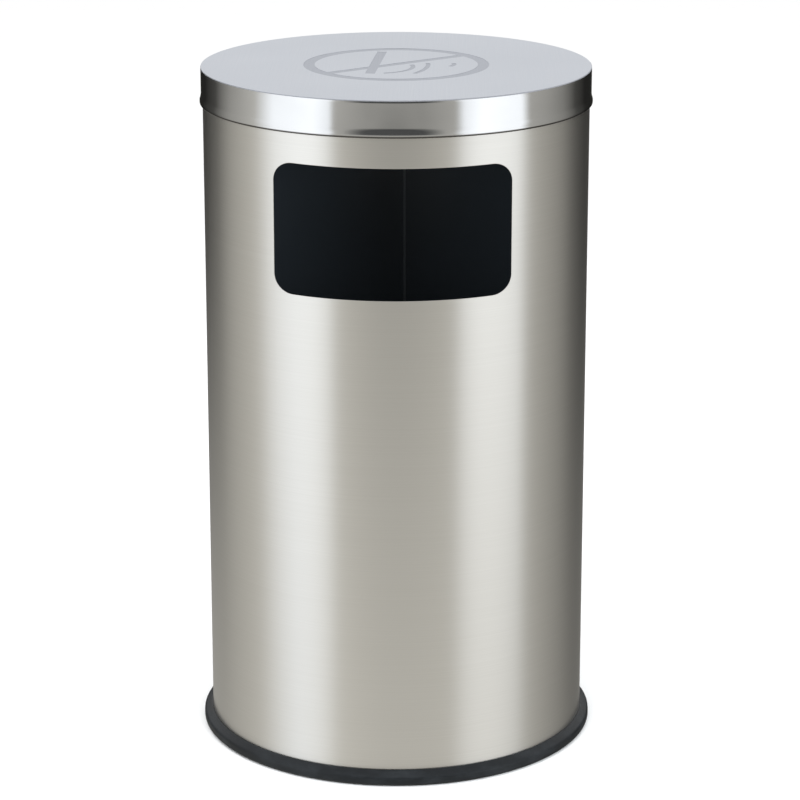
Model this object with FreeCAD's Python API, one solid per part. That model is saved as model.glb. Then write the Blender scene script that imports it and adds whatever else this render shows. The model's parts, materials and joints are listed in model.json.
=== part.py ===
import FreeCAD, Part
import math
import os

from FreeCAD import Vector

# Round litter bin with a side opening, a lift-off lid and a lift-out liner.
# Millimetres.  Origin on the floor at the bin's axis, +Z up, the opening faces -Y.

# Driving dimensions
BODY_DIAMETER = 380.0
OVERALL_HEIGHT = 680.0
OPENING_ARC = 240.0
OPENING_HEIGHT = 126.5
OPENING_TOP_BELOW_LID = 64.5
OPENING_CORNER = 18.0
LID_HEIGHT = 35.5
RING_HEIGHT = 15.0
RING_PROUD = 8.8
SHELL_SHEET = 1.0
LID_SHEET = 1.0
PLATE_SHEET = 1.2
LINER_SHEET = 0.7

# Clearances
LID_CLEARANCE = 0.6
LID_SEAT_GAP = 0.8
WELD_GAP = 0.1
SHAFT_GAP = 0.1
BUTT_GAP = 0.4

# Outer shell
SHELL_R = BODY_DIAMETER / 2
SHELL_IN_R = SHELL_R - SHELL_SHEET
SHELL_BOTTOM = 3.2
SHELL_TOP = OVERALL_HEIGHT - LID_SHEET - LID_SEAT_GAP
OPENING_HALF_WIDTH = SHELL_R * math.sin(OPENING_ARC / BODY_DIAMETER)
OPENING_TOP = OVERALL_HEIGHT - OPENING_TOP_BELOW_LID
OPENING_BOTTOM = OPENING_TOP - OPENING_HEIGHT

# Rolled angle that stiffens the mouth of the shell
HOOP_R = SHELL_IN_R - WELD_GAP
HOOP_SHEET = 1.5
HOOP_IN_R = 183.5
HOOP_HEIGHT = 20.0

# Base pan, its swage and the rubber ring round its edge
PLATE_TOP = 11.2
PLATE_R = SHELL_IN_R - WELD_GAP
PLATE_BEND = 2.6
SWAGE_R = 96.0
SWAGE_WIDTH = 16.0
SWAGE_DEPTH = 2.5
RING_R = SHELL_R + RING_PROUD
RING_FOOT_R = 195.2
RING_IN_R = 182.6
RING_INNER_LIP = 8.6
RING_LIP = 1.6

# Rubber pads under the liner
PAD_COUNT = 4
PAD_CIRCLE_R = 150.0
PAD_R = 15.0
PAD_HEIGHT = 4.0
PAD_RECESS_R = 5.2
PAD_RECESS = 2.2
RIVET_R = 2.0
RIVET_HEAD_R = 4.2
RIVET_HEAD = 1.3
RIVET_TAIL_R = 3.2

# Liner: wall with a wired rim, bottom, seam and window
LINER_R = 178.0
LINER_IN_R = LINER_R - LINER_SHEET
LINER_BOTTOM = PLATE_TOP + PAD_HEIGHT
RIM_CENTRE_Z = OVERALL_HEIGHT - 19.0
RIM_ROLL_R = 2.5
RIM_CENTRE_R = LINER_IN_R + RIM_ROLL_R
RIM_WIRE_R = 1.75
RIM_CURL_END = -150.0
SEAM_WIDTH = 6.0
WINDOW_MARGIN = 8.0
BOTTOM_FLANGE = 10.0
BOTTOM_BEND = 2.4

# Key that keeps the liner's window behind the opening
LUG_WIDTH = 8.0
LUG_OUT_R = 182.2
LUG_BOTTOM = 24.0
LUG_TOP = 44.0
CHANNEL_GAP = 0.8
CHANNEL_SHEET = 1.5
CHANNEL_OUT_Y = 186.6
CHANNEL_IN_Y = 179.4
CHANNEL_TOP = 50.0
CHANNEL_FOOT_IN_Y = 148.0
CHANNEL_RIVETS_Y = (156.0, 170.0)

# Drop handles inside the liner, one on each side
HANDLE_PIVOT_X = 163.0
HANDLE_PIVOT_Z = OVERALL_HEIGHT - 51.0
HANDLE_WIRE_R = 2.5
HANDLE_LEG_Y = 36.0
HANDLE_DROP = 36.0
HANDLE_BEND_R = 6.0
HANDLE_END_Y = 48.0
GRIP_R = 6.0
GRIP_HALF_LENGTH = 28.0
GRIP_ROUND = 1.5
EAR_MIDDLE_Y = 44.5
EAR_SHEET = 2.0
EAR_R = 7.0
BRACKET_HALF_LENGTH = 52.0
BRACKET_HEIGHT = 26.0
BRACKET_SHEET = 1.2
BRACKET_RIVET_Y = 20.0

# Lid
LID_IN_R = SHELL_R + LID_CLEARANCE
LID_R = LID_IN_R + LID_SHEET
LID_BOTTOM = OVERALL_HEIGHT - LID_HEIGHT
LID_UNDERSIDE = OVERALL_HEIGHT - LID_SHEET
LID_EDGE = 0.7
HEM_HEIGHT = 9.0
HEM_PROUD = 1.3
HEM_ROUND = 1.1
BUFFER_COUNT = 6
BUFFER_CIRCLE_R = 186.4
BUFFER_R = 2.4
BUFFER_HEIGHT = 0.7

# Etched roundel on the lid
ETCH_DEPTH = 0.2
ROUNDEL_R = 91.0
ROUNDEL_STROKE = 11.0
BAR_WIDTH = 9.5
BAR_ANGLE = 38.0
STICK_LENGTH = 122.0
STICK_X = -20.0
STICK_Y = 9.0
STICK_ANGLE = 86.0
WISP_WIDTH = 4.5
WISPS = (
    ((-11.0, -50.0), (8.0, -38.0), (15.0, -3.0)),
    ((19.0, -51.0), (29.0, -24.0), (31.0, 6.0)),
    ((53.0, -11.0), (56.5, -3.0), (56.0, 6.0)),
)

AXIS = Vector(0, 0, 1)
SIDEWAYS = Vector(0, 1, 0)
CENTRE = Vector(0, 0, 0)


def radial(u, v):
    """Place a section point: u is the radius, v the height."""
    return Vector(u, 0, v)


def flat(u, v):
    return Vector(u, v, 0)


def front(u, v):
    """Place a point on a plane that stands in front of the bin and faces -Y."""
    return Vector(u, -BODY_DIAMETER, v)


def corner_arc(before, here, after):
    """Start, middle and end of the tangent arc at a corner (u, v, radius)."""
    corner = Vector(here[0], here[1], 0)
    if here[2] == 0:
        return corner, None, corner
    back = (Vector(before[0], before[1], 0) - corner).normalize()
    ahead = (Vector(after[0], after[1], 0) - corner).normalize()
    half = back.getAngle(ahead) / 2
    inward = (back + ahead).normalize()
    reach = here[2] / math.tan(half)
    middle = corner + inward * (here[2] / math.sin(half) - here[2])
    return corner + back * reach, middle, corner + ahead * reach


def outline_face(corners, place):
    """Face whose corners (u, v, radius) are joined by lines and tangent arcs."""
    count = len(corners)
    arcs = []
    for index in range(count):
        arcs.append(corner_arc(corners[index - 1], corners[index], corners[(index + 1) % count]))
    edges = []
    for index, (start, middle, end) in enumerate(arcs):
        if middle is not None:
            arc = Part.Arc(place(start.x, start.y), place(middle.x, middle.y), place(end.x, end.y))
            edges.append(arc.toShape())
        following = arcs[(index + 1) % count][0]
        if (following - end).Length > 1e-6:
            line = Part.LineSegment(place(end.x, end.y), place(following.x, following.y))
            edges.append(line.toShape())
    return Part.Face(Part.Wire(edges))


def turned(corners):
    """Solid turned about the bin's axis from a section."""
    return outline_face(corners, radial).revolve(CENTRE, AXIS, 360)


def disc(radius, height, x, y, z):
    return Part.makeCylinder(radius, height, Vector(x, y, z))


def block(x0, x1, y0, y1, z0, z1):
    return Part.makeBox(x1 - x0, y1 - y0, z1 - z0, Vector(x0, y0, z0))


def tube(outer, inner, z0, z1):
    return disc(outer, z1 - z0, 0, 0, z0).cut(disc(inner, z1 - z0, 0, 0, z0))


def aperture(margin, radius):
    """Rounded rectangle through the front wall, grown by a margin."""
    half = OPENING_HALF_WIDTH + margin
    low = OPENING_BOTTOM - margin
    high = OPENING_TOP + margin
    corners = [(-half, low, radius), (half, low, radius), (half, high, radius), (-half, high, radius)]
    return outline_face(corners, front).extrude(Vector(0, BODY_DIAMETER, 0))


def rivet(x, y, low, high):
    """Upright blind rivet through sheets that lie between two heights."""
    shank = disc(RIVET_R, high - low, x, y, low)
    head = disc(RIVET_HEAD_R, RIVET_HEAD, x, y, high)
    rim = [edge for edge in head.Edges if abs(edge.BoundBox.ZMin - high - RIVET_HEAD) < 1e-6]
    head = head.makeFillet(RIVET_HEAD * 0.8, rim)
    tail = disc(RIVET_TAIL_R, RIVET_HEAD, x, y, low - RIVET_HEAD)
    return shank.fuse([head, tail])


def around(count, radius, first_angle):
    places = []
    for index in range(count):
        angle = math.radians(first_angle + 360.0 * index / count)
        places.append((radius * math.cos(angle), radius * math.sin(angle)))
    return places


PAD_PLACES = around(PAD_COUNT, PAD_CIRCLE_R, 45.0)
CHANNEL_RIVETS = [(0.0, y) for y in CHANNEL_RIVETS_Y]


# Housing

def outer_shell():
    shell = tube(SHELL_R, SHELL_IN_R, SHELL_BOTTOM, SHELL_TOP)
    return shell.cut(aperture(0, OPENING_CORNER))


def mouth_hoop():
    low = SHELL_TOP - HOOP_HEIGHT
    wall_in = HOOP_R - HOOP_SHEET
    shelf_low = SHELL_TOP - HOOP_SHEET
    return turned([
        (HOOP_R, low, 0),
        (HOOP_R, SHELL_TOP, HOOP_SHEET),
        (HOOP_IN_R, SHELL_TOP, 0.5),
        (HOOP_IN_R, shelf_low, 0.5),
        (wall_in, shelf_low, 0.6),
        (wall_in, low, 0),
    ])


def base_pan():
    under = PLATE_TOP - PLATE_SHEET
    wall_in = PLATE_R - PLATE_SHEET
    bend_in = PLATE_BEND - PLATE_SHEET
    slope = SWAGE_DEPTH
    swage_in = SWAGE_R - SWAGE_WIDTH / 2
    swage_out = SWAGE_R + SWAGE_WIDTH / 2
    pan = turned([
        (0, PLATE_TOP, 0),
        (0, under, 0),
        (swage_in, under, 2),
        (swage_in + slope, under - SWAGE_DEPTH, 2),
        (swage_out - slope, under - SWAGE_DEPTH, 2),
        (swage_out, under, 2),
        (wall_in, under, bend_in),
        (wall_in, SHELL_BOTTOM, 0),
        (PLATE_R, SHELL_BOTTOM, 0),
        (PLATE_R, PLATE_TOP, PLATE_BEND),
        (swage_out, PLATE_TOP, 2),
        (swage_out - slope, PLATE_TOP - SWAGE_DEPTH, 2),
        (swage_in + slope, PLATE_TOP - SWAGE_DEPTH, 2),
        (swage_in, PLATE_TOP, 2),
    ])
    holes = [disc(RIVET_R + SHAFT_GAP, PLATE_TOP, x, y, 0) for x, y in PAD_PLACES + CHANNEL_RIVETS]
    return pan.cut(holes)


def base_ring():
    slot_out = SHELL_R + WELD_GAP
    slot_in = PLATE_R - PLATE_SHEET - WELD_GAP
    ring = turned([
        (RING_IN_R, 0, 1.2),
        (RING_FOOT_R, 0, 1.6),
        (RING_R, 2.6, 3.2),
        (RING_R, 10.4, 4.6),
        (slot_out + RING_LIP, RING_HEIGHT, 1.0),
        (slot_out, RING_HEIGHT, 0),
        (slot_out, SHELL_BOTTOM, 0),
        (slot_in, SHELL_BOTTOM, 0),
        (slot_in, RING_INNER_LIP, 0.6),
        (RING_IN_R, RING_INNER_LIP, 1.6),
    ])
    half = BUTT_GAP / 2
    return ring.cut(block(-half, half, RING_IN_R - 5, RING_R + 5, -1, RING_HEIGHT + 1))


def rest_pads():
    pads = []
    for x, y in PAD_PLACES:
        pad = disc(PAD_R, PAD_HEIGHT, x, y, PLATE_TOP)
        edge = [edge for edge in pad.Edges if abs(edge.BoundBox.ZMin - PLATE_TOP - PAD_HEIGHT) < 1e-6]
        pad = pad.makeFillet(1.0, edge)
        recess = disc(PAD_RECESS_R, PAD_RECESS, x, y, PLATE_TOP + PAD_HEIGHT - PAD_RECESS)
        hole = disc(RIVET_R + SHAFT_GAP, PAD_HEIGHT, x, y, PLATE_TOP)
        pads.append(pad.cut([recess, hole]))
    return Part.makeCompound(pads)


def pad_rivets():
    low = PLATE_TOP - PLATE_SHEET
    high = PLATE_TOP + PAD_HEIGHT - PAD_RECESS
    return Part.makeCompound([rivet(x, y, low, high) for x, y in PAD_PLACES])


def key_channel():
    """Folded channel on the base that the liner's lug drops into."""
    inside = LUG_WIDTH / 2 + CHANNEL_GAP
    outside = inside + CHANNEL_SHEET
    foot_top = PLATE_TOP + CHANNEL_SHEET
    web = block(-outside, outside, CHANNEL_OUT_Y - CHANNEL_SHEET, CHANNEL_OUT_Y, PLATE_TOP, CHANNEL_TOP)
    left = block(-outside, -inside, CHANNEL_IN_Y, CHANNEL_OUT_Y, foot_top, CHANNEL_TOP)
    right = block(inside, outside, CHANNEL_IN_Y, CHANNEL_OUT_Y, foot_top, CHANNEL_TOP)
    foot = block(-outside, outside, CHANNEL_FOOT_IN_Y, CHANNEL_OUT_Y, PLATE_TOP, foot_top)
    channel = web.fuse([left, right, foot]).removeSplitter()
    holes = [disc(RIVET_R + SHAFT_GAP, PLATE_TOP, x, y, PLATE_TOP) for x, y in CHANNEL_RIVETS]
    return channel.cut(holes)


def channel_rivets():
    low = PLATE_TOP - PLATE_SHEET
    high = PLATE_TOP + CHANNEL_SHEET
    return Part.makeCompound([rivet(x, y, low, high) for x, y in CHANNEL_RIVETS])


# Liner

def curl_point(radius, degrees):
    angle = math.radians(degrees)
    return radial(RIM_CENTRE_R + radius * math.cos(angle), RIM_CENTRE_Z + radius * math.sin(angle))


def rim_curl():
    """Sheet curled outward round the rim wire, from the wall over the top and back in."""
    inner = RIM_ROLL_R - LINER_SHEET
    middle = (180.0 + RIM_CURL_END) / 2
    edges = [
        Part.Arc(*[curl_point(RIM_ROLL_R, a) for a in (180.0, middle, RIM_CURL_END)]).toShape(),
        Part.LineSegment(curl_point(RIM_ROLL_R, RIM_CURL_END), curl_point(inner, RIM_CURL_END)).toShape(),
        Part.Arc(*[curl_point(inner, a) for a in (RIM_CURL_END, middle, 180.0)]).toShape(),
        Part.LineSegment(curl_point(inner, 180.0), curl_point(RIM_ROLL_R, 180.0)).toShape(),
    ]
    return Part.Face(Part.Wire(edges)).revolve(CENTRE, AXIS, 360)


def liner_wall():
    wall = tube(LINER_R, LINER_IN_R, LINER_BOTTOM, RIM_CENTRE_Z)
    low = LINER_BOTTOM + BOTTOM_FLANGE + 1.0
    strip = tube(LINER_IN_R, LINER_IN_R - LINER_SHEET, low, RIM_CENTRE_Z)
    seam = strip.common(block(0, SEAM_WIDTH, 0, LINER_R, 0, OVERALL_HEIGHT))
    wall = wall.fuse([rim_curl(), seam]).removeSplitter()
    holes = bracket_rivet_holes()
    holes += [other_side(hole) for hole in holes]
    return wall.cut([aperture(WINDOW_MARGIN, OPENING_CORNER + WINDOW_MARGIN)] + holes)


def liner_bottom():
    outer = LINER_IN_R - WELD_GAP
    inner = outer - LINER_SHEET
    top = LINER_BOTTOM + LINER_SHEET
    return turned([
        (0, LINER_BOTTOM, 0),
        (outer, LINER_BOTTOM, BOTTOM_BEND),
        (outer, LINER_BOTTOM + BOTTOM_FLANGE, 0),
        (inner, LINER_BOTTOM + BOTTOM_FLANGE, 0),
        (inner, top, BOTTOM_BEND - LINER_SHEET),
        (0, top, 0),
    ])


def rim_wire():
    return Part.makeTorus(RIM_CENTRE_R, RIM_WIRE_R, Vector(0, 0, RIM_CENTRE_Z))


def key_lug():
    half = LUG_WIDTH / 2
    lug = block(-half, half, 0, LUG_OUT_R, LUG_BOTTOM, LUG_TOP)
    reach = tube(LUG_OUT_R, LINER_R + WELD_GAP, LUG_BOTTOM, LUG_TOP)
    return lug.common(reach)


def handle_bracket():
    """Curved plate with two ears, inside the liner wall on the +X side."""
    outer = LINER_IN_R - WELD_GAP
    low = HANDLE_PIVOT_Z - BRACKET_HEIGHT / 2
    high = HANDLE_PIVOT_Z + BRACKET_HEIGHT / 2
    plate = tube(outer, outer - BRACKET_SHEET, low, high)
    plate = plate.common(block(0, LINER_R, -BRACKET_HALF_LENGTH, BRACKET_HALF_LENGTH, low, high))
    ears = []
    for side in (-1, 1):
        start = side * EAR_MIDDLE_Y - EAR_SHEET / 2
        pivot = Vector(HANDLE_PIVOT_X, start, HANDLE_PIVOT_Z)
        boss = Part.makeCylinder(EAR_R, EAR_SHEET, pivot, SIDEWAYS)
        ear_low = HANDLE_PIVOT_Z - EAR_R
        ear_high = HANDLE_PIVOT_Z + EAR_R
        arm = block(HANDLE_PIVOT_X, LINER_R, start, start + EAR_SHEET, ear_low, ear_high)
        ear = boss.fuse(arm).common(disc(outer - BRACKET_SHEET / 2, BRACKET_HEIGHT, 0, 0, low))
        ears.append(ear)
    bracket = plate.fuse(ears).removeSplitter()
    start = Vector(HANDLE_PIVOT_X, -BRACKET_HALF_LENGTH, HANDLE_PIVOT_Z)
    bore = Part.makeCylinder(HANDLE_WIRE_R + SHAFT_GAP, 2 * BRACKET_HALF_LENGTH, start, SIDEWAYS)
    return bracket.cut([bore] + bracket_rivet_holes())


def bracket_rivet_frames():
    """Centre on the liner wall and outward direction of each bracket rivet."""
    frames = []
    for side in (-1, 1):
        angle = math.asin(side * BRACKET_RIVET_Y / LINER_R)
        frames.append(Vector(math.cos(angle), math.sin(angle), 0))
    return frames


def bracket_rivet_holes():
    holes = []
    for outward in bracket_rivet_frames():
        start = outward * HANDLE_PIVOT_X + Vector(0, 0, HANDLE_PIVOT_Z)
        holes.append(Part.makeCylinder(RIVET_R + SHAFT_GAP, SHELL_R - HANDLE_PIVOT_X, start, outward))
    return holes


def bracket_rivets():
    """Rivets that hold one bracket to the liner wall, heads outside."""
    tail_start = LINER_IN_R - BRACKET_SHEET - RIVET_HEAD - 2 * WELD_GAP
    head_start = LINER_R + WELD_GAP
    lift = Vector(0, 0, HANDLE_PIVOT_Z)
    rivets = []
    for outward in bracket_rivet_frames():
        tail = Part.makeCylinder(RIVET_TAIL_R, RIVET_HEAD, outward * tail_start + lift, outward)
        shank = Part.makeCylinder(RIVET_R, head_start - tail_start, outward * tail_start + lift, outward)
        head = Part.makeCylinder(RIVET_HEAD_R, RIVET_HEAD, outward * head_start + lift, outward)
        rivets.append(shank.fuse([head, tail]))
    return Part.makeCompound(rivets)


def handle_wire():
    """Bent wire on the +X side, hanging down from its pivot."""
    x = HANDLE_PIVOT_X
    top = HANDLE_PIVOT_Z
    low = HANDLE_PIVOT_Z - HANDLE_DROP
    bend = HANDLE_BEND_R
    diagonal = bend * (1 - math.sqrt(0.5))
    leg = HANDLE_LEG_Y

    def at(y, z):
        return Vector(x, y, z)

    edges = [
        Part.LineSegment(at(-HANDLE_END_Y, top), at(-leg - bend, top)),
        Part.Arc(at(-leg - bend, top), at(-leg - diagonal, top - diagonal), at(-leg, top - bend)),
        Part.LineSegment(at(-leg, top - bend), at(-leg, low + bend)),
        Part.Arc(at(-leg, low + bend), at(-leg + diagonal, low + diagonal), at(-leg + bend, low)),
        Part.LineSegment(at(-leg + bend, low), at(leg - bend, low)),
        Part.Arc(at(leg - bend, low), at(leg - diagonal, low + diagonal), at(leg, low + bend)),
        Part.LineSegment(at(leg, low + bend), at(leg, top - bend)),
        Part.Arc(at(leg, top - bend), at(leg + diagonal, top - diagonal), at(leg + bend, top)),
        Part.LineSegment(at(leg + bend, top), at(HANDLE_END_Y, top)),
    ]
    path = Part.Wire([edge.toShape() for edge in edges])
    section = Part.makeCircle(HANDLE_WIRE_R, at(-HANDLE_END_Y, top), SIDEWAYS)
    return path.makePipeShell([Part.Wire([section])], True, True)


def handle_grip():
    start = Vector(HANDLE_PIVOT_X, -GRIP_HALF_LENGTH, HANDLE_PIVOT_Z - HANDLE_DROP)
    sleeve = Part.makeCylinder(GRIP_R, 2 * GRIP_HALF_LENGTH, start, SIDEWAYS)
    rims = [edge for edge in sleeve.Edges if len(edge.Vertexes) == 1]
    sleeve = sleeve.makeFillet(GRIP_ROUND, rims)
    bore = Part.makeCylinder(HANDLE_WIRE_R + SHAFT_GAP / 2, 2 * GRIP_HALF_LENGTH, start, SIDEWAYS)
    return sleeve.cut(bore)


def other_side(shape):
    """The same piece turned half a turn, on the -X side."""
    turned_shape = shape.copy()
    turned_shape.rotate(CENTRE, AXIS, 180)
    return turned_shape


# Lid

def bar(length, width, x, y, degrees):
    shape = block(-length / 2, length / 2, -width / 2, width / 2, LID_UNDERSIDE, OVERALL_HEIGHT)
    shape.rotate(CENTRE, AXIS, degrees)
    shape.translate(Vector(x, y, 0))
    return shape


def wisp(points):
    """Strip of even width along an arc through three points."""
    start, middle, end = [flat(x, y) for x, y in points]
    circle = Part.Arc(start, middle, end).toShape().Curve
    centre = circle.Center
    strips = []
    for radius in (circle.Radius - WISP_WIDTH / 2, circle.Radius + WISP_WIDTH / 2):
        strips.append([centre + (point - centre).normalize() * radius for point in (start, middle, end)])
    inner, outer = strips
    edges = [
        Part.Arc(*inner).toShape(),
        Part.LineSegment(inner[2], outer[2]).toShape(),
        Part.Arc(*reversed(outer)).toShape(),
        Part.LineSegment(outer[0], inner[0]).toShape(),
    ]
    shape = Part.Face(Part.Wire(edges)).extrude(Vector(0, 0, LID_SHEET))
    shape.translate(Vector(0, 0, LID_UNDERSIDE))
    return shape


def roundel():
    """Generic ring, crossing bars and wisps, all the thickness of the lid's sheet."""
    ring = tube(ROUNDEL_R, ROUNDEL_R - ROUNDEL_STROKE, LID_UNDERSIDE, OVERALL_HEIGHT)
    slash = bar(2 * ROUNDEL_R - ROUNDEL_STROKE, BAR_WIDTH, 0, 0, BAR_ANGLE)
    stick = bar(STICK_LENGTH, BAR_WIDTH, STICK_X, STICK_Y, STICK_ANGLE)
    return ring.fuse([slash, stick] + [wisp(points) for points in WISPS])


def lid_top():
    plate = turned([
        (0, LID_UNDERSIDE, 0),
        (LID_R, LID_UNDERSIDE, 0),
        (LID_R, OVERALL_HEIGHT, LID_EDGE),
        (0, OVERALL_HEIGHT, 0),
    ])
    etching = roundel()
    etching.translate(Vector(0, 0, LID_SHEET - ETCH_DEPTH))
    return plate.cut(etching)


def lid_band():
    """Polished band with its lower edge folded outward into a hem."""
    hem_r = LID_R + HEM_PROUD
    return turned([
        (LID_IN_R, LID_BOTTOM, 0.8),
        (hem_r, LID_BOTTOM, HEM_ROUND),
        (hem_r, LID_BOTTOM + HEM_HEIGHT, HEM_ROUND),
        (LID_R, LID_BOTTOM + HEM_HEIGHT, 0.15),
        (LID_R, LID_UNDERSIDE, 0),
        (LID_IN_R, LID_UNDERSIDE, 0),
    ])


def lid_buffers():
    """Rubber dots under the lid that land on the shelf of the mouth hoop."""
    low = LID_UNDERSIDE - BUFFER_HEIGHT
    places = around(BUFFER_COUNT, BUFFER_CIRCLE_R, 0.0)
    return Part.makeCompound([disc(BUFFER_R, BUFFER_HEIGHT, x, y, low) for x, y in places])


NODES = {
    "outer_shell": outer_shell(),
    "mouth_hoop": mouth_hoop(),
    "base_pan": base_pan(),
    "base_ring": base_ring(),
    "rest_pads": rest_pads(),
    "pad_rivets": pad_rivets(),
    "key_channel": key_channel(),
    "channel_rivets": channel_rivets(),
    "liner_wall": liner_wall(),
    "liner_bottom": liner_bottom(),
    "rim_wire": rim_wire(),
    "key_lug": key_lug(),
    "handle_bracket_right": handle_bracket(),
    "handle_bracket_left": other_side(handle_bracket()),
    "bracket_rivets_right": bracket_rivets(),
    "bracket_rivets_left": other_side(bracket_rivets()),
    "handle_wire_right": handle_wire(),
    "handle_wire_left": other_side(handle_wire()),
    "handle_grip_right": handle_grip(),
    "handle_grip_left": other_side(handle_grip()),
    "lid_top": lid_top(),
    "lid_band": lid_band(),
    "lid_buffers": lid_buffers(),
}

os.makedirs("parts", exist_ok=True)
for name, shape in NODES.items():
    shape.exportStep("parts/" + name + ".step")
    print(name, shape.ShapeType, len(shape.Solids), shape.isValid(), round(shape.Volume))
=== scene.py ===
import json
import math

import bmesh
import bpy
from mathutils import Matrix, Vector


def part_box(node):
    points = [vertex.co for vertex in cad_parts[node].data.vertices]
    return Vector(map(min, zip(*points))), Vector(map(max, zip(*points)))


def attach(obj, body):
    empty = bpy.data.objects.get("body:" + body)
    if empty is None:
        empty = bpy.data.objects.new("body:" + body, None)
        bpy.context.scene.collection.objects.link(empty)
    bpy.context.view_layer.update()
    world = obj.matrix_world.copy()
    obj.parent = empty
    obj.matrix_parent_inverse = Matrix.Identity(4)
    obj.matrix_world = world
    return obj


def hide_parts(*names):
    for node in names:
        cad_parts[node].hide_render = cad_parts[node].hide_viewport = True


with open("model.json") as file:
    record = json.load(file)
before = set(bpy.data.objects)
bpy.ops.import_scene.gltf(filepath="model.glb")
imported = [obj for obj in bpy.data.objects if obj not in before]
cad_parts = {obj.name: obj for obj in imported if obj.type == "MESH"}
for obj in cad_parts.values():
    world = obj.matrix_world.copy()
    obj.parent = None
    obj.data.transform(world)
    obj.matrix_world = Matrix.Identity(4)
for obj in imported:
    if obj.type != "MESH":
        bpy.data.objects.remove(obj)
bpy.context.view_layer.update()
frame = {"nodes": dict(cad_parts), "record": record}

# Measures read from the frame, in metres
SHELL_LOW, SHELL_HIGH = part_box("outer_shell")
BAND_LOW, BAND_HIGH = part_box("lid_band")
TOP_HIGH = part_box("lid_top")[1]
RING_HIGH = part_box("base_ring")[1]
WALL_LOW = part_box("liner_wall")[0]
BOTTOM_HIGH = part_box("liner_bottom")[1]
WIRE_LOW, WIRE_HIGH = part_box("rim_wire")
OPENINGS = {o["name"]: o["box_m"] for o in frame["record"]["physics"]["openings"]}

MM = 0.001
SHELL_R = SHELL_HIGH.x
SHELL_SHEET = 1.0 * MM
LID_R = TOP_HIGH.x
LID_SHEET = 1.0 * MM
LINER_SHEET = 0.7 * MM
WIRE_R = (WIRE_HIGH.z - WIRE_LOW.z) / 2
WIRE_Z = (WIRE_HIGH.z + WIRE_LOW.z) / 2
RIM_STEP = 1.8 * MM
LINER_R = WIRE_HIGH.x - WIRE_R - RIM_STEP

# Throw-in opening: its stated box stands inside the rounded corners by a fixed inset
CORNER_R = 18 * MM
BOX_INSET = Vector((10.2 * MM, 0, 10.0 * MM))
THROW_IN = OPENINGS["throw_in_opening"]
OPENING_HALF = THROW_IN[1][0] + BOX_INSET.x
OPENING_LOW = THROW_IN[0][2] - BOX_INSET.z
OPENING_HIGH = THROW_IN[1][2] + BOX_INSET.z
WINDOW_MARGIN = 8 * MM

SEGMENTS = 384
BAND_SEGMENTS = 512
SHEET_ROWS = 8
WELD_HALF_WIDTH = 2.2 * MM


# Mesh building

def arc_points(before, here, after, steps):
    """Points of the tangent arc at a corner (radius, height, rounding)."""
    corner = Vector(here[:2])
    if here[2] == 0:
        return [corner]
    back = (Vector(before[:2]) - corner).normalized()
    ahead = (Vector(after[:2]) - corner).normalized()
    half = back.angle(ahead) / 2
    centre = corner + (back + ahead).normalized() * here[2] / math.sin(half)
    start = corner + back * here[2] / math.tan(half) - centre
    end = corner + ahead * here[2] / math.tan(half) - centre
    sweep = start.angle_signed(end)
    points = []
    for step in range(steps + 1):
        angle = -sweep * step / steps
        turned = Vector((
            start.x * math.cos(angle) - start.y * math.sin(angle),
            start.x * math.sin(angle) + start.y * math.cos(angle),
        ))
        points.append(centre + turned)
    return points


def rounded(corners, steps=6):
    """Closed outline whose corners are joined by lines and tangent arcs."""
    points = []
    count = len(corners)
    for index in range(count):
        points += arc_points(corners[index - 1], corners[index], corners[(index + 1) % count], steps)
    return points


def finish_mesh(name, vertices, faces, sharp_degrees=35):
    """Smooth-shaded object of these faces, with edges sharper than the limit kept crisp."""
    mesh = bpy.data.meshes.new(name)
    mesh.from_pydata(vertices, [], faces)
    shape = bmesh.new()
    shape.from_mesh(mesh)
    bmesh.ops.remove_doubles(shape, verts=shape.verts, dist=1e-7)
    bmesh.ops.recalc_face_normals(shape, faces=shape.faces)
    shape.to_mesh(mesh)
    shape.free()
    mesh.shade_smooth()
    mesh.set_sharp_from_angle(angle=math.radians(sharp_degrees))
    piece = bpy.data.objects.new(name, mesh)
    bpy.context.scene.collection.objects.link(piece)
    return piece


def turned_mesh(outline, segments=SEGMENTS, slit=0.0):
    """Vertices and faces of a closed outline (radius, height) turned about Z, with a slit at the back."""
    count = len(outline)
    start = math.pi / 2 + slit
    sweep = 2 * math.pi - 2 * slit
    columns = segments + 1 if slit else segments
    vertices = []
    for column in range(columns):
        angle = start + sweep * column / segments
        for point in outline:
            vertices.append((point[0] * math.cos(angle), point[0] * math.sin(angle), point[1]))
    faces = []
    for column in range(segments):
        here = column * count
        there = (column + 1) % columns * count
        for index in range(count):
            after = (index + 1) % count
            faces.append((here + index, there + index, there + after, here + after))
    if slit:
        faces.append(tuple(range(count)))
        faces.append(tuple(range(segments * count, (segments + 1) * count)))
    return vertices, faces


def soften(piece, width, segments=2):
    """Rounds the piece's sharp edges and applies the result."""
    bevel = piece.modifiers.new("edges", "BEVEL")
    bevel.width = width
    bevel.segments = segments
    bevel.limit_method = "ANGLE"
    bevel.angle_limit = math.radians(40)
    bevel.harden_normals = True
    depsgraph = bpy.context.evaluated_depsgraph_get()
    mesh = bpy.data.meshes.new_from_object(piece.evaluated_get(depsgraph))
    piece.modifiers.clear()
    piece.data = mesh


def place(piece, body, node, material):
    """Puts the finished piece on its body, in the place of a CAD node."""
    piece.data.materials.clear()
    piece.data.materials.append(material)
    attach(piece, body)
    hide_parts(node)


# Sheet with a rounded window

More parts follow.
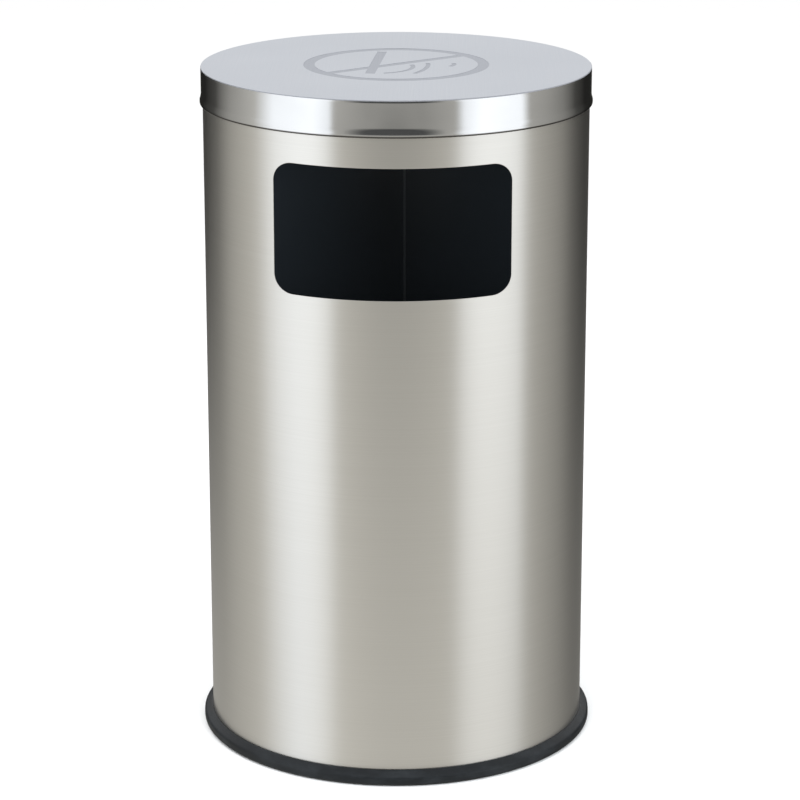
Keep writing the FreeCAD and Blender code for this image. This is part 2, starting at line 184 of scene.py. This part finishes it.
def window_columns(half, corner, arc_steps=10, middle_steps=48):
    """Sideways place and corner drop of each column that crosses the window."""
    columns = []
    for step in range(arc_steps):
        turn = math.pi / 2 * step / arc_steps
        columns.append((-half + corner * (1 - math.cos(turn)), corner * (1 - math.sin(turn))))
    for step in range(middle_steps + 1):
        columns.append((-half + corner + 2 * (half - corner) * step / middle_steps, 0.0))
    for x, drop in reversed(columns[:arc_steps]):
        columns.append((-x, drop))
    return columns


def back_angles(start, seam_width, steps=300):
    """Angles from one side of the window round the back to the other, close together at the seam."""
    angles = [start + (2 * math.pi - 2 * start) * step / steps for step in range(1, steps)]
    seam = [math.pi + seam_width * step / 6 for step in range(-6, 7)]
    clear = [angle for angle in angles if abs(angle - math.pi) > seam_width * 1.2]
    return sorted(clear + seam)


def column_heights(low, foot, head, high):
    """Heights of one column's vertices, with equal rows under, beside and over the window."""
    heights = [low + (foot - low) * step / SHEET_ROWS for step in range(SHEET_ROWS + 1)]
    heights += [foot + (head - foot) * step / SHEET_ROWS for step in range(1, SHEET_ROWS)]
    heights += [head + (high - head) * step / SHEET_ROWS for step in range(SHEET_ROWS + 1)]
    return heights


def sheet_faces(layers, crossing):
    """Faces of both sides of a sheet, with the window left open, and of the cut edges between them."""
    last_row = 3 * SHEET_ROWS
    window_rows = range(SHEET_ROWS, 2 * SHEET_ROWS)
    faces = []
    for layer in layers:
        for column, here in enumerate(layer):
            there = layer[(column + 1) % len(layer)]
            for row in range(last_row):
                if row in window_rows and column < crossing - 1:
                    continue
                faces.append((here + row, there + row, there + row + 1, here + row + 1))
    outside, inside = layers
    rims = []
    for column, here in enumerate(outside):
        there = outside[(column + 1) % len(outside)]
        rims += [(here, there), (here + last_row, there + last_row)]
        if column < crossing - 1:
            rims += [(here + row, there + row) for row in (SHEET_ROWS, 2 * SHEET_ROWS)]
    for column in (0, crossing - 1):
        rims += [(outside[column] + row, outside[column] + row + 1) for row in window_rows]
    shift = inside[0] - outside[0]
    faces += [(a, b, b + shift, a + shift) for a, b in rims]
    return faces


def window_sheet(outer, sheet, low, high, half, window_low, window_high, corner, bead=0.0):
    """Rolled sheet with a rounded window that faces -Y, and a weld bead down its back."""
    columns = window_columns(half, corner)
    weld_width = WELD_HALF_WIDTH / outer
    vertices = []
    layers = []
    for radius, rise in ((outer, bead), (outer - sheet, 0.0)):
        grid = [(math.asin(x / radius), window_low + drop, window_high - drop, radius) for x, drop in columns]
        for angle in back_angles(math.asin(half / radius), weld_width):
            away = min(1.0, abs(angle - math.pi) / weld_width)
            swell = rise * (0.5 + 0.5 * math.cos(math.pi * away))
            grid.append((angle, window_low + corner, window_high - corner, radius + swell))
        layer = []
        for angle, foot, head, reach in grid:
            layer.append(len(vertices))
            for z in column_heights(low, foot, head, high):
                vertices.append((reach * math.sin(angle), -reach * math.cos(angle), z))
        layers.append(layer)
    return vertices, sheet_faces(layers, len(columns))


# Materials

class Tree:
    """Short names for building a node tree."""

    def __init__(self, owner):
        owner.use_nodes = True
        self.tree = owner.node_tree

    def add(self, kind, **values):
        """New node; each value goes to the property or else the input of that name."""
        node = self.tree.nodes.new(kind)
        for key, value in values.items():
            if hasattr(node, key):
                setattr(node, key, value)
            else:
                node.inputs[key.replace("_", " ")].default_value = value
        return node

    def link(self, source, target):
        self.tree.links.new(source, target)

    def remap(self, source, low, high, from_low=0.3, from_high=0.7):
        """Clamped linear map, by default from the range that most noise values lie in."""
        node = self.add("ShaderNodeMapRange", From_Min=from_low, From_Max=from_high, To_Min=low, To_Max=high)
        self.link(source, node.inputs["Value"])
        return node.outputs["Result"]

    def blend(self, factor, first, second):
        node = self.add("ShaderNodeMix", data_type="RGBA")
        self.link(factor, node.inputs["Factor"])
        for socket, value in ((node.inputs[6], first), (node.inputs[7], second)):
            if isinstance(value, tuple):
                socket.default_value = (*value, 1.0)
            else:
                self.link(value, socket)
        return node.outputs[2]

    def math(self, operation, *values):
        node = self.add("ShaderNodeMath", operation=operation)
        for socket, value in zip(node.inputs, values):
            if isinstance(value, (int, float)):
                socket.default_value = value
            else:
                self.link(value, socket)
        return node.outputs["Value"]


class Nodes(Tree):
    """A material's node tree round its principled shader."""

    def __init__(self, name):
        self.material = bpy.data.materials.new(name)
        super().__init__(self.material)
        self.shader = self.tree.nodes["Principled BSDF"]

    def set(self, **values):
        for key, value in values.items():
            self.shader.inputs[key.replace("_", " ")].default_value = value

    def coordinates(self, scale):
        """Object coordinates in metres, times the scale."""
        source = self.add("ShaderNodeTexCoord")
        mapping = self.add("ShaderNodeMapping")
        mapping.inputs["Scale"].default_value = scale
        self.link(source.outputs["Object"], mapping.inputs["Vector"])
        return mapping.outputs["Vector"]

    def height(self):
        split = self.add("ShaderNodeSeparateXYZ")
        self.link(self.coordinates((1, 1, 1)), split.inputs["Vector"])
        return split.outputs["Z"]

    def noise(self, scale, detail=2.0, roughness=0.5):
        noise = self.add("ShaderNodeTexNoise")
        noise.inputs["Scale"].default_value = 1.0
        noise.inputs["Detail"].default_value = detail
        noise.inputs["Roughness"].default_value = roughness
        self.link(self.coordinates(scale), noise.inputs["Vector"])
        return noise.outputs["Fac"]

    def bump(self, height, strength, distance):
        node = self.add("ShaderNodeBump")
        node.inputs["Strength"].default_value = strength
        node.inputs["Distance"].default_value = distance
        self.link(height, node.inputs["Height"])
        return node.outputs["Normal"]

    def to(self, socket, source):
        self.link(source, self.shader.inputs[socket])


def brushed_stainless():
    """Fine brushing round the bin, so that highlights stretch up and down."""
    nodes = Nodes("brushed_stainless")
    nodes.set(Metallic=1.0, Anisotropic=0.65, Anisotropic_Rotation=0.25)
    tangent = nodes.add("ShaderNodeTangent", direction_type="RADIAL", axis="Z")
    nodes.link(tangent.outputs["Tangent"], nodes.shader.inputs["Tangent"])
    grain = nodes.noise((4, 4, 1500), 4.0, 0.6)
    patches = nodes.noise((5, 5, 4), 3.0)
    tone = nodes.blend(nodes.remap(grain, 0, 1), (0.640, 0.630, 0.602), (0.670, 0.660, 0.633))
    nodes.to("Base Color", tone)
    rough = nodes.math("ADD", nodes.remap(grain, 0.284, 0.300), nodes.remap(patches, -0.002, 0.008))
    nodes.to("Roughness", rough)
    nodes.to("Normal", nodes.bump(grain, 0.01, 0.0001))
    return nodes.material


def polished_stainless():
    """Bright skirt whose base colour is painted dark along its lower edge, faded out between two heights:
    painted shade for the gap between hem and shell.
    """
    nodes = Nodes("polished_stainless")
    nodes.set(Metallic=1.0)
    smudge = nodes.noise((16, 16, 30), 4.0)
    line = nodes.noise((20, 20, 1800), 3.0)
    clean = nodes.blend(nodes.remap(smudge, 0, 1), (0.600, 0.605, 0.610), (0.640, 0.645, 0.650))
    # Painted shade: a dark band along the lip's lower edge stands in for the shadow and dark reflection in
    # the gap under the hem.
    painted_gap_shade = nodes.remap(nodes.height(), 1, 0, BAND_LOW.z + 1.5 * MM, BAND_LOW.z + 2.1 * MM)
    nodes.to("Base Color", nodes.blend(painted_gap_shade, clean, (0.09, 0.085, 0.08)))
    nodes.to("Roughness", nodes.math("ADD", nodes.remap(smudge, 0.07, 0.10), nodes.remap(line, 0.0, 0.03)))
    return nodes.material


def satin_stainless():
    """Satin sheet whose etched roundel lies a fifth of a millimetre under the surface."""
    nodes = Nodes("satin_stainless")
    nodes.set(Metallic=1.0)
    grain = nodes.noise((1100, 10, 10), 4.0, 0.6)
    frost = nodes.noise((900, 900, 900), 3.0)
    cloud = nodes.noise((7, 7, 7), 3.0)
    etched = nodes.math("LESS_THAN", nodes.height(), TOP_HIGH.z - 0.1 * MM)
    streaks = nodes.blend(nodes.remap(grain, 0, 1), (0.525, 0.553, 0.602), (0.555, 0.583, 0.635))
    plain = nodes.blend(nodes.remap(cloud, 0, 1), streaks, (0.560, 0.587, 0.638))
    frosted = nodes.blend(nodes.remap(frost, 0, 1), (0.425, 0.445, 0.490), (0.470, 0.490, 0.535))
    nodes.to("Base Color", nodes.blend(etched, plain, frosted))
    rough = nodes.math("ADD", nodes.remap(grain, 0.33, 0.43), nodes.math("MULTIPLY", etched, 0.2))
    nodes.to("Roughness", rough)
    nodes.to("Normal", nodes.bump(grain, 0.05, 0.0002))
    return nodes.material


def galvanised_steel():
    """Zinc spangle: small cells of different grey and gloss."""
    nodes = Nodes("galvanised_steel")
    nodes.set(Metallic=1.0)
    cells = nodes.add("ShaderNodeTexVoronoi")
    cells.inputs["Scale"].default_value = 1.0
    nodes.link(nodes.coordinates((95, 95, 95)), cells.inputs["Vector"])
    tone = nodes.add("ShaderNodeSeparateColor")
    nodes.link(cells.outputs["Color"], tone.inputs["Color"])
    cloud = nodes.noise((60, 60, 60), 4.0)
    nodes.to("Base Color", nodes.blend(tone.outputs["Red"], (0.42, 0.44, 0.46), (0.60, 0.62, 0.63)))
    gloss = nodes.remap(tone.outputs["Green"], 0.34, 0.5, 0, 1)
    nodes.to("Roughness", nodes.math("ADD", gloss, nodes.remap(cloud, -0.04, 0.06)))
    nodes.to("Normal", nodes.bump(cloud, 0.15, 0.0003))
    return nodes.material


def zinc_plated_steel():
    """Bright plating with faint clouds."""
    nodes = Nodes("zinc_plated_steel")
    nodes.set(Metallic=1.0)
    cloud = nodes.noise((180, 180, 180), 4.0)
    nodes.to("Base Color", nodes.blend(nodes.remap(cloud, 0, 1), (0.55, 0.57, 0.60), (0.66, 0.67, 0.66)))
    nodes.to("Roughness", nodes.remap(cloud, 0.22, 0.36))
    nodes.to("Normal", nodes.bump(cloud, 0.08, 0.0002))
    return nodes.material


def powder_coat(name, inside, outside):
    """Fine-textured black coat, with one tone for the liner's inside and one for its outside; the inside is
    painted lighter than the outside, painted light for the dim inside of the liner.
    """
    nodes = Nodes(name)
    peel = nodes.noise((650, 650, 650), 2.0)
    cloud = nodes.noise((9, 9, 7), 4.0)
    across = nodes.add("ShaderNodeVectorMath", operation="LENGTH")
    nodes.link(nodes.coordinates((1, 1, 0)), across.inputs[0])
    outer_face = nodes.math("GREATER_THAN", across.outputs["Value"], LINER_R - LINER_SHEET / 2)
    # Painted light: the inner face gets a lighter tone than the outer face, though the coat is the same on
    # both.
    base = nodes.blend(outer_face, inside, outside)
    nodes.to("Base Color", nodes.blend(nodes.remap(cloud, 0, 0.2), base, (0.040, 0.045, 0.050)))
    nodes.to("Roughness", nodes.math("ADD", nodes.remap(cloud, 0.30, 0.36), nodes.remap(peel, 0.0, 0.05)))
    nodes.to("Normal", nodes.bump(peel, 0.12, 0.0003))
    return nodes.material


def black_rubber():
    """Matt rubber with patches of dust."""
    nodes = Nodes("black_rubber")
    nodes.set(Specular_IOR_Level=0.27)
    skin = nodes.noise((420, 420, 900), 3.0)
    dust = nodes.noise((24, 24, 60), 5.0, 0.65)
    dusty = nodes.remap(dust, 0, 1, 0.45, 0.75)
    nodes.to("Base Color", nodes.blend(dusty, (0.005, 0.0065, 0.008), (0.016, 0.019, 0.022)))
    nodes.to("Roughness", nodes.math("ADD", nodes.remap(skin, 0.38, 0.48), nodes.remap(dust, 0.0, 0.08)))
    nodes.to("Normal", nodes.bump(skin, 0.1, 0.0002))
    return nodes.material


def black_plastic():
    """Grips with a fine leather grain."""
    nodes = Nodes("black_plastic")
    leather = nodes.noise((1100, 1100, 1100), 2.0)
    cloud = nodes.noise((70, 70, 70), 3.0)
    tone = nodes.blend(nodes.remap(cloud, 0, 1), (0.018, 0.018, 0.019), (0.028, 0.028, 0.029))
    nodes.to("Base Color", tone)
    nodes.to("Roughness", nodes.remap(leather, 0.45, 0.58))
    nodes.to("Normal", nodes.bump(leather, 0.2, 0.0002))
    return nodes.material


# Painted light: the inside tone is lighter than the outside tone, standing in for light that reaches into the
# liner.
COAT_INSIDE_PAINTED_LIGHT = (0.038, 0.046, 0.055)
COAT_OUTSIDE = (0.009, 0.010, 0.011)
# Painted highlight: a lighter coat tone for the lap seam's free edge, where it catches light.
COAT_SEAM_HIGHLIGHT = (0.100, 0.110, 0.118)

MATERIALS = {
    "brushed_stainless": brushed_stainless(),
    "polished_stainless": polished_stainless(),
    "satin_stainless": satin_stainless(),
    "galvanised_steel": galvanised_steel(),
    "zinc_plated_steel": zinc_plated_steel(),
    "black_powder_coat": powder_coat("black_powder_coat", COAT_INSIDE_PAINTED_LIGHT, COAT_OUTSIDE),
    "black_rubber": black_rubber(),
    "black_plastic": black_plastic(),
}
# Painted highlight: the lap seam's free edge gets this lighter coat.
SEAM_HIGHLIGHT_COAT = powder_coat("worn_powder_coat", COAT_SEAM_HIGHLIGHT, COAT_SEAM_HIGHLIGHT)


def finish_cad_nodes():
    """Gives every carried-over node the procedural material of its slot."""
    for part in frame["record"]["subparts"]:
        node = frame["nodes"][part["node"]]
        for material_slot in node.material_slots:
            material_slot.material = MATERIALS[part["material_slot"]]


# Pieces

def shell():
    """Brushed shell with the throw-in opening; its cut edges are rounded."""
    mesh = window_sheet(SHELL_R, SHELL_SHEET, SHELL_LOW.z, SHELL_HIGH.z, OPENING_HALF,
                        OPENING_LOW, OPENING_HIGH, CORNER_R, bead=0.15 * MM)
    piece = finish_mesh("shell_sheet", *mesh)
    soften(piece, 0.42 * MM)
    place(piece, "housing", "outer_shell", MATERIALS["brushed_stainless"])


def lid_band():
    """Skirt of the lid: bevelled top, straight wall, then a flare to an upright lip with a rolled edge."""
    inner = LID_R - LID_SHEET
    bulge = BAND_HIGH.x - LID_R
    low = BAND_LOW.z
    roll = 1.0 * MM
    lip_top = low + 3.2 * MM
    flare_top = low + 9.5 * MM
    flare_power = 1.6
    chamfer = 0.3 * MM
    bevel_height = 1.6 * MM
    bevel_depth = 0.46 * MM
    outline = [
        Vector((inner, BAND_HIGH.z)),
        Vector((inner, low + chamfer)),
        Vector((inner + chamfer, low)),
    ]
    centre = Vector((BAND_HIGH.x - roll, low + roll))
    for step in range(9):
        angle = -math.pi / 2 + math.pi / 2 * step / 8
        outline.append(centre + roll * Vector((math.cos(angle), math.sin(angle))))
    for step in range(13):
        part = step / 12
        height = lip_top + (flare_top - lip_top) * part
        outline.append(Vector((LID_R + bulge * (1 - part) ** flare_power, height)))
    outline.append(Vector((LID_R, BAND_HIGH.z - bevel_height)))
    outline.append(Vector((LID_R - bevel_depth, BAND_HIGH.z)))
    piece = finish_mesh("band_with_hem", *turned_mesh(outline, BAND_SEGMENTS), sharp_degrees=14)
    place(piece, "lid", "lid_band", MATERIALS["polished_stainless"])


def rubber_ring():
    """Extruded ring round the foot, cut through once at the back, with a slot that takes the shell."""
    outer = RING_HIGH.x
    height = RING_HIGH.z
    bore = 182.6 * MM
    inner_height = 8.6 * MM
    slot_out = SHELL_R + 0.1 * MM
    slot_in = SHELL_R - SHELL_SHEET - 1.4 * MM
    outline = rounded([
        (bore, 0, 1.2 * MM),
        (195.2 * MM, 0, 1.6 * MM),
        (outer, 2.6 * MM, 3.2 * MM),
        (outer, 10.4 * MM, 4.6 * MM),
        (slot_out + 1.6 * MM, height, 1.0 * MM),
        (slot_out, height, 0),
        (slot_out, SHELL_LOW.z, 0),
        (slot_in, SHELL_LOW.z, 0),
        (slot_in, inner_height, 0.6 * MM),
        (bore, inner_height, 1.6 * MM),
    ])
    piece = finish_mesh("rubber_ring", *turned_mesh(outline, slit=0.2 * MM / SHELL_R))
    place(piece, "housing", "base_ring", MATERIALS["black_rubber"])


def rim_outline():
    """Section of the sheet curled outward round the rim wire."""
    centre = Vector((WIRE_HIGH.x - WIRE_R, WIRE_Z))
    outer = WIRE_R + 0.05 * MM + LINER_SHEET
    points = []
    steps = 28
    curl = math.radians(330)
    for radius, turns in ((outer, range(steps + 1)), (outer - LINER_SHEET, range(steps, -1, -1))):
        for step in turns:
            angle = math.pi - curl * step / steps
            points.append(centre + radius * Vector((math.cos(angle), math.sin(angle))))
    return points


def seam_strip(start, width, depth, low, high):
    """Shallow upright strip on the inside of the liner's back."""
    outer = LINER_R - LINER_SHEET
    inner = outer - depth
    sunk = outer + 0.2 * MM
    vertices = []
    steps = 6
    for z in (low, high):
        for radius in (sunk, inner):
            for step in range(steps + 1):
                x = start + width * step / steps
                vertices.append((x, math.sqrt(radius * radius - x * x), z))
    count = steps + 1
    faces = []
    for step in range(steps):
        a, b = step, step + 1
        faces.append((a, b, b + 2 * count, a + 2 * count))
        faces.append((a + count, b + count, b + 3 * count, a + 3 * count))
        faces.append((a, b, b + count, a + count))
        faces.append((a + 2 * count, b + 2 * count, b + 3 * count, a + 3 * count))
    for end in (0, steps):
        faces.append((end, end + count, end + 3 * count, end + 2 * count))
    return vertices, faces


def liner():
    """Liner wall with its window, the curled rim and the lap seam, whose free edge has a painted highlight.
    """
    coat = MATERIALS["black_powder_coat"]
    half = OPENING_HALF + WINDOW_MARGIN
    sheet = window_sheet(LINER_R, LINER_SHEET, WALL_LOW.z, WIRE_Z, half, OPENING_LOW - WINDOW_MARGIN,
                         OPENING_HIGH + WINDOW_MARGIN, CORNER_R + WINDOW_MARGIN)
    wall = finish_mesh("liner_sheet", *sheet)
    soften(wall, 0.2 * MM)
    place(wall, "liner", "liner_wall", coat)
    rim = finish_mesh("liner_rim", *turned_mesh(rim_outline()))
    place(rim, "liner", "liner_wall", coat)
    seam_low = BOTTOM_HIGH.z + 1 * MM
    seam = finish_mesh("liner_seam", *seam_strip(0, 4.6 * MM, LINER_SHEET, seam_low, WIRE_Z))
    soften(seam, 0.15 * MM)
    place(seam, "liner", "liner_wall", coat)
    # Painted highlight: the seam's free edge is drawn in a lighter coat, for the light it catches.
    edge = finish_mesh("liner_seam_edge", *seam_strip(3.6 * MM, 2.4 * MM, 0.9 * MM, seam_low, WIRE_Z))
    soften(edge, 0.25 * MM)
    place(edge, "liner", "liner_wall", SEAM_HIGHLIGHT_COAT)


# Studio

CAMERA_AZIMUTH = 1.2
CAMERA_ELEVATION = 16.3
CAMERA_DISTANCE = 3.1
CAMERA_LENS = 138.0
CAMERA_TARGET = Vector((3.7 * MM, 0, 337.3 * MM))
LIGHT_TARGET = Vector((0, 0, 0.35))


def aim(name, data, target, azimuth, elevation, distance):
    """Camera or light that points at the target from these angles, in degrees, with 0 at the front."""
    turn = math.radians(azimuth)
    lift = math.radians(elevation)
    away = Vector((math.sin(turn) * math.cos(lift), -math.cos(turn) * math.cos(lift), math.sin(lift)))
    aimed = bpy.data.objects.new(name, data)
    bpy.context.scene.collection.objects.link(aimed)
    aimed.location = target + away * distance
    aimed.rotation_euler = (-away).to_track_quat("-Z", "Y").to_euler()
    return aimed


def camera():
    data = bpy.data.cameras.new("camera")
    data.lens = CAMERA_LENS
    data.sensor_width = 36
    data.clip_end = 100
    bpy.context.scene.camera = aim(
        "camera", data, CAMERA_TARGET, CAMERA_AZIMUTH, CAMERA_ELEVATION, CAMERA_DISTANCE)


def floor():
    half = 30.0
    corners = [(-half, -half, 0), (half, -half, 0), (half, half, 0), (-half, half, 0)]
    plane = finish_mesh("floor", corners, [(0, 1, 2, 3)])
    nodes = Nodes("floor")
    speckle = nodes.noise((40, 40, 40), 3.0)
    nodes.to("Base Color", nodes.blend(nodes.remap(speckle, 0, 1), (0.92, 0.92, 0.92), (0.93, 0.93, 0.93)))
    nodes.set(Roughness=0.9, Specular_IOR_Level=0.1)
    plane.data.materials.append(nodes.material)
    plane.visible_glossy = False


def softbox(name, azimuth, elevation, distance, width, height, power, colour):
    """Area light that the steel doesn't mirror: the painted room does that."""
    data = bpy.data.lights.new(name, "AREA")
    data.shape = "RECTANGLE"
    data.size = width
    data.size_y = height
    data.energy = power
    data.color = colour
    light = aim(name, data, LIGHT_TARGET, azimuth, elevation, distance)
    light.visible_camera = False
    light.visible_glossy = False


# Brightness that the steel shows, by angle from the front in degrees: level, then towards the floor
WALLS = (
    (-180, 0.16), (-172, 0.10), (-166, 0.02), (-150, 0.02), (-130, 0.08), (-112, 0.40), (-89, 0.66),
    (-75, 1.50), (-48, 1.70), (-38, 1.40), (-35, 0.56), (-16, 0.42), (16, 0.40), (36, 0.54),
    (41, 1.40), (52, 1.70), (79, 1.60), (85, 0.55), (100, 0.44), (115, 0.30), (130, 0.08), (146, 0.02),
    (166, 0.02), (172, 0.10), (180, 0.16),
)
NEAR_FLOOR = (
    (-180, 0.42), (-135, 0.50), (-110, 0.60), (-84, 0.69), (-61, 1.13), (-38, 0.84), (-16, 0.86), (16, 0.84),
    (34, 0.75), (50, 0.79), (68, 0.77), (84, 0.58), (115, 0.36), (140, 0.22), (160, 0.20), (180, 0.42),
)
PEAK = 1.7
WARM = (1.0, 0.976, 0.905)
COOL = (0.950, 0.975, 1.0)
SKY_STRENGTH = 1.05

# Where the room changes, by the height of a direction's unit vector
FLOOR_STARTS = -0.22
FLOOR_FULL = -0.35
SKY_STARTS = 0.26
SKY_FULL = 0.37

# Dark shape of the camera: its direction, and the cosines where it ends and where it is full
DARK_DIRECTION = (0, -0.95, 0.31)
DARK_ENDS = 0.875
DARK_FULL = 0.955
DARK_SHARE = 0.97
DARK_TONE = (0.05, 0.05, 0.05)


def light_ramp(nodes, angle, levels):
    """Colour round the room; lamps are cool and walls are warm."""
    ramp = nodes.add("ShaderNodeValToRGB")
    elements = ramp.color_ramp.elements
    for index, (degrees, level) in enumerate(levels):
        spot = (degrees + 180) / 360
        element = elements[index] if index < 2 else elements.new(spot)
        element.position = spot
        tint = COOL if level > 1 else WARM
        element.color = (*(level / PEAK * channel for channel in tint), 1)
    nodes.link(angle, ramp.inputs["Fac"])
    return ramp.outputs["Color"]


def room():
    """World light: a white sky, and round it the walls, lamps and dark camera that reflections show."""
    world = bpy.data.worlds.new("room")
    bpy.context.scene.world = world
    nodes = Tree(world)
    nodes.tree.nodes.clear()
    direction = nodes.add("ShaderNodeTexCoord").outputs["Generated"]
    split = nodes.add("ShaderNodeSeparateXYZ")
    nodes.link(direction, split.inputs["Vector"])
    forward = nodes.math("MULTIPLY", split.outputs["Y"], -1.0)
    turn = nodes.math("ARCTAN2", split.outputs["X"], forward)
    angle = nodes.remap(turn, 0, 1, -math.pi, math.pi)
    downward = nodes.remap(split.outputs["Z"], 0, 1, FLOOR_STARTS, FLOOR_FULL)
    around = nodes.blend(downward, light_ramp(nodes, angle, WALLS), light_ramp(nodes, angle, NEAR_FLOOR))
    towards_camera = nodes.add("ShaderNodeVectorMath", operation="DOT_PRODUCT")
    towards_camera.inputs[1].default_value = DARK_DIRECTION
    nodes.link(direction, towards_camera.inputs[0])
    shade = nodes.remap(towards_camera.outputs["Value"], 0, DARK_SHARE, DARK_ENDS, DARK_FULL)
    shaded = nodes.blend(shade, around, DARK_TONE)
    walls = nodes.add("ShaderNodeBackground", Strength=PEAK)
    nodes.link(shaded, walls.inputs["Color"])
    sky = nodes.add("ShaderNodeBackground", Color=(1.0, 1.0, 1.0, 1.0), Strength=SKY_STRENGTH)
    behind = nodes.math("MULTIPLY_ADD", split.outputs["Y"], 0.2, split.outputs["Z"])
    reflected = nodes.add("ShaderNodeMixShader")
    nodes.link(nodes.remap(behind, 0, 1, SKY_STARTS, SKY_FULL), reflected.inputs["Fac"])
    nodes.link(walls.outputs[0], reflected.inputs[1])
    nodes.link(sky.outputs[0], reflected.inputs[2])
    seen = nodes.add("ShaderNodeMixShader")
    nodes.link(nodes.add("ShaderNodeLightPath").outputs["Is Glossy Ray"], seen.inputs["Fac"])
    nodes.link(sky.outputs[0], seen.inputs[1])
    nodes.link(reflected.outputs[0], seen.inputs[2])
    nodes.link(seen.outputs[0], nodes.add("ShaderNodeOutputWorld").inputs["Surface"])


finish_cad_nodes()
shell()
lid_band()
rubber_ring()
liner()
floor()
room()
softbox("overhead", -25, 62, 2.6, 1.8, 1.8, 25, (1.0, 1.0, 1.0))
for side, power in ((-1, 18), (1, 46)):
    softbox("front_fill", side * 32 + 4, 14, 2.4, 1.2, 1.4, power, (0.90, 0.96, 1.0))
camera()
bpy.context.scene.view_settings.view_transform = "Standard"


def plain(bounds):
    """Bounds as lists of plain numbers."""
    return [[float(value) for value in corner] for corner in bounds]
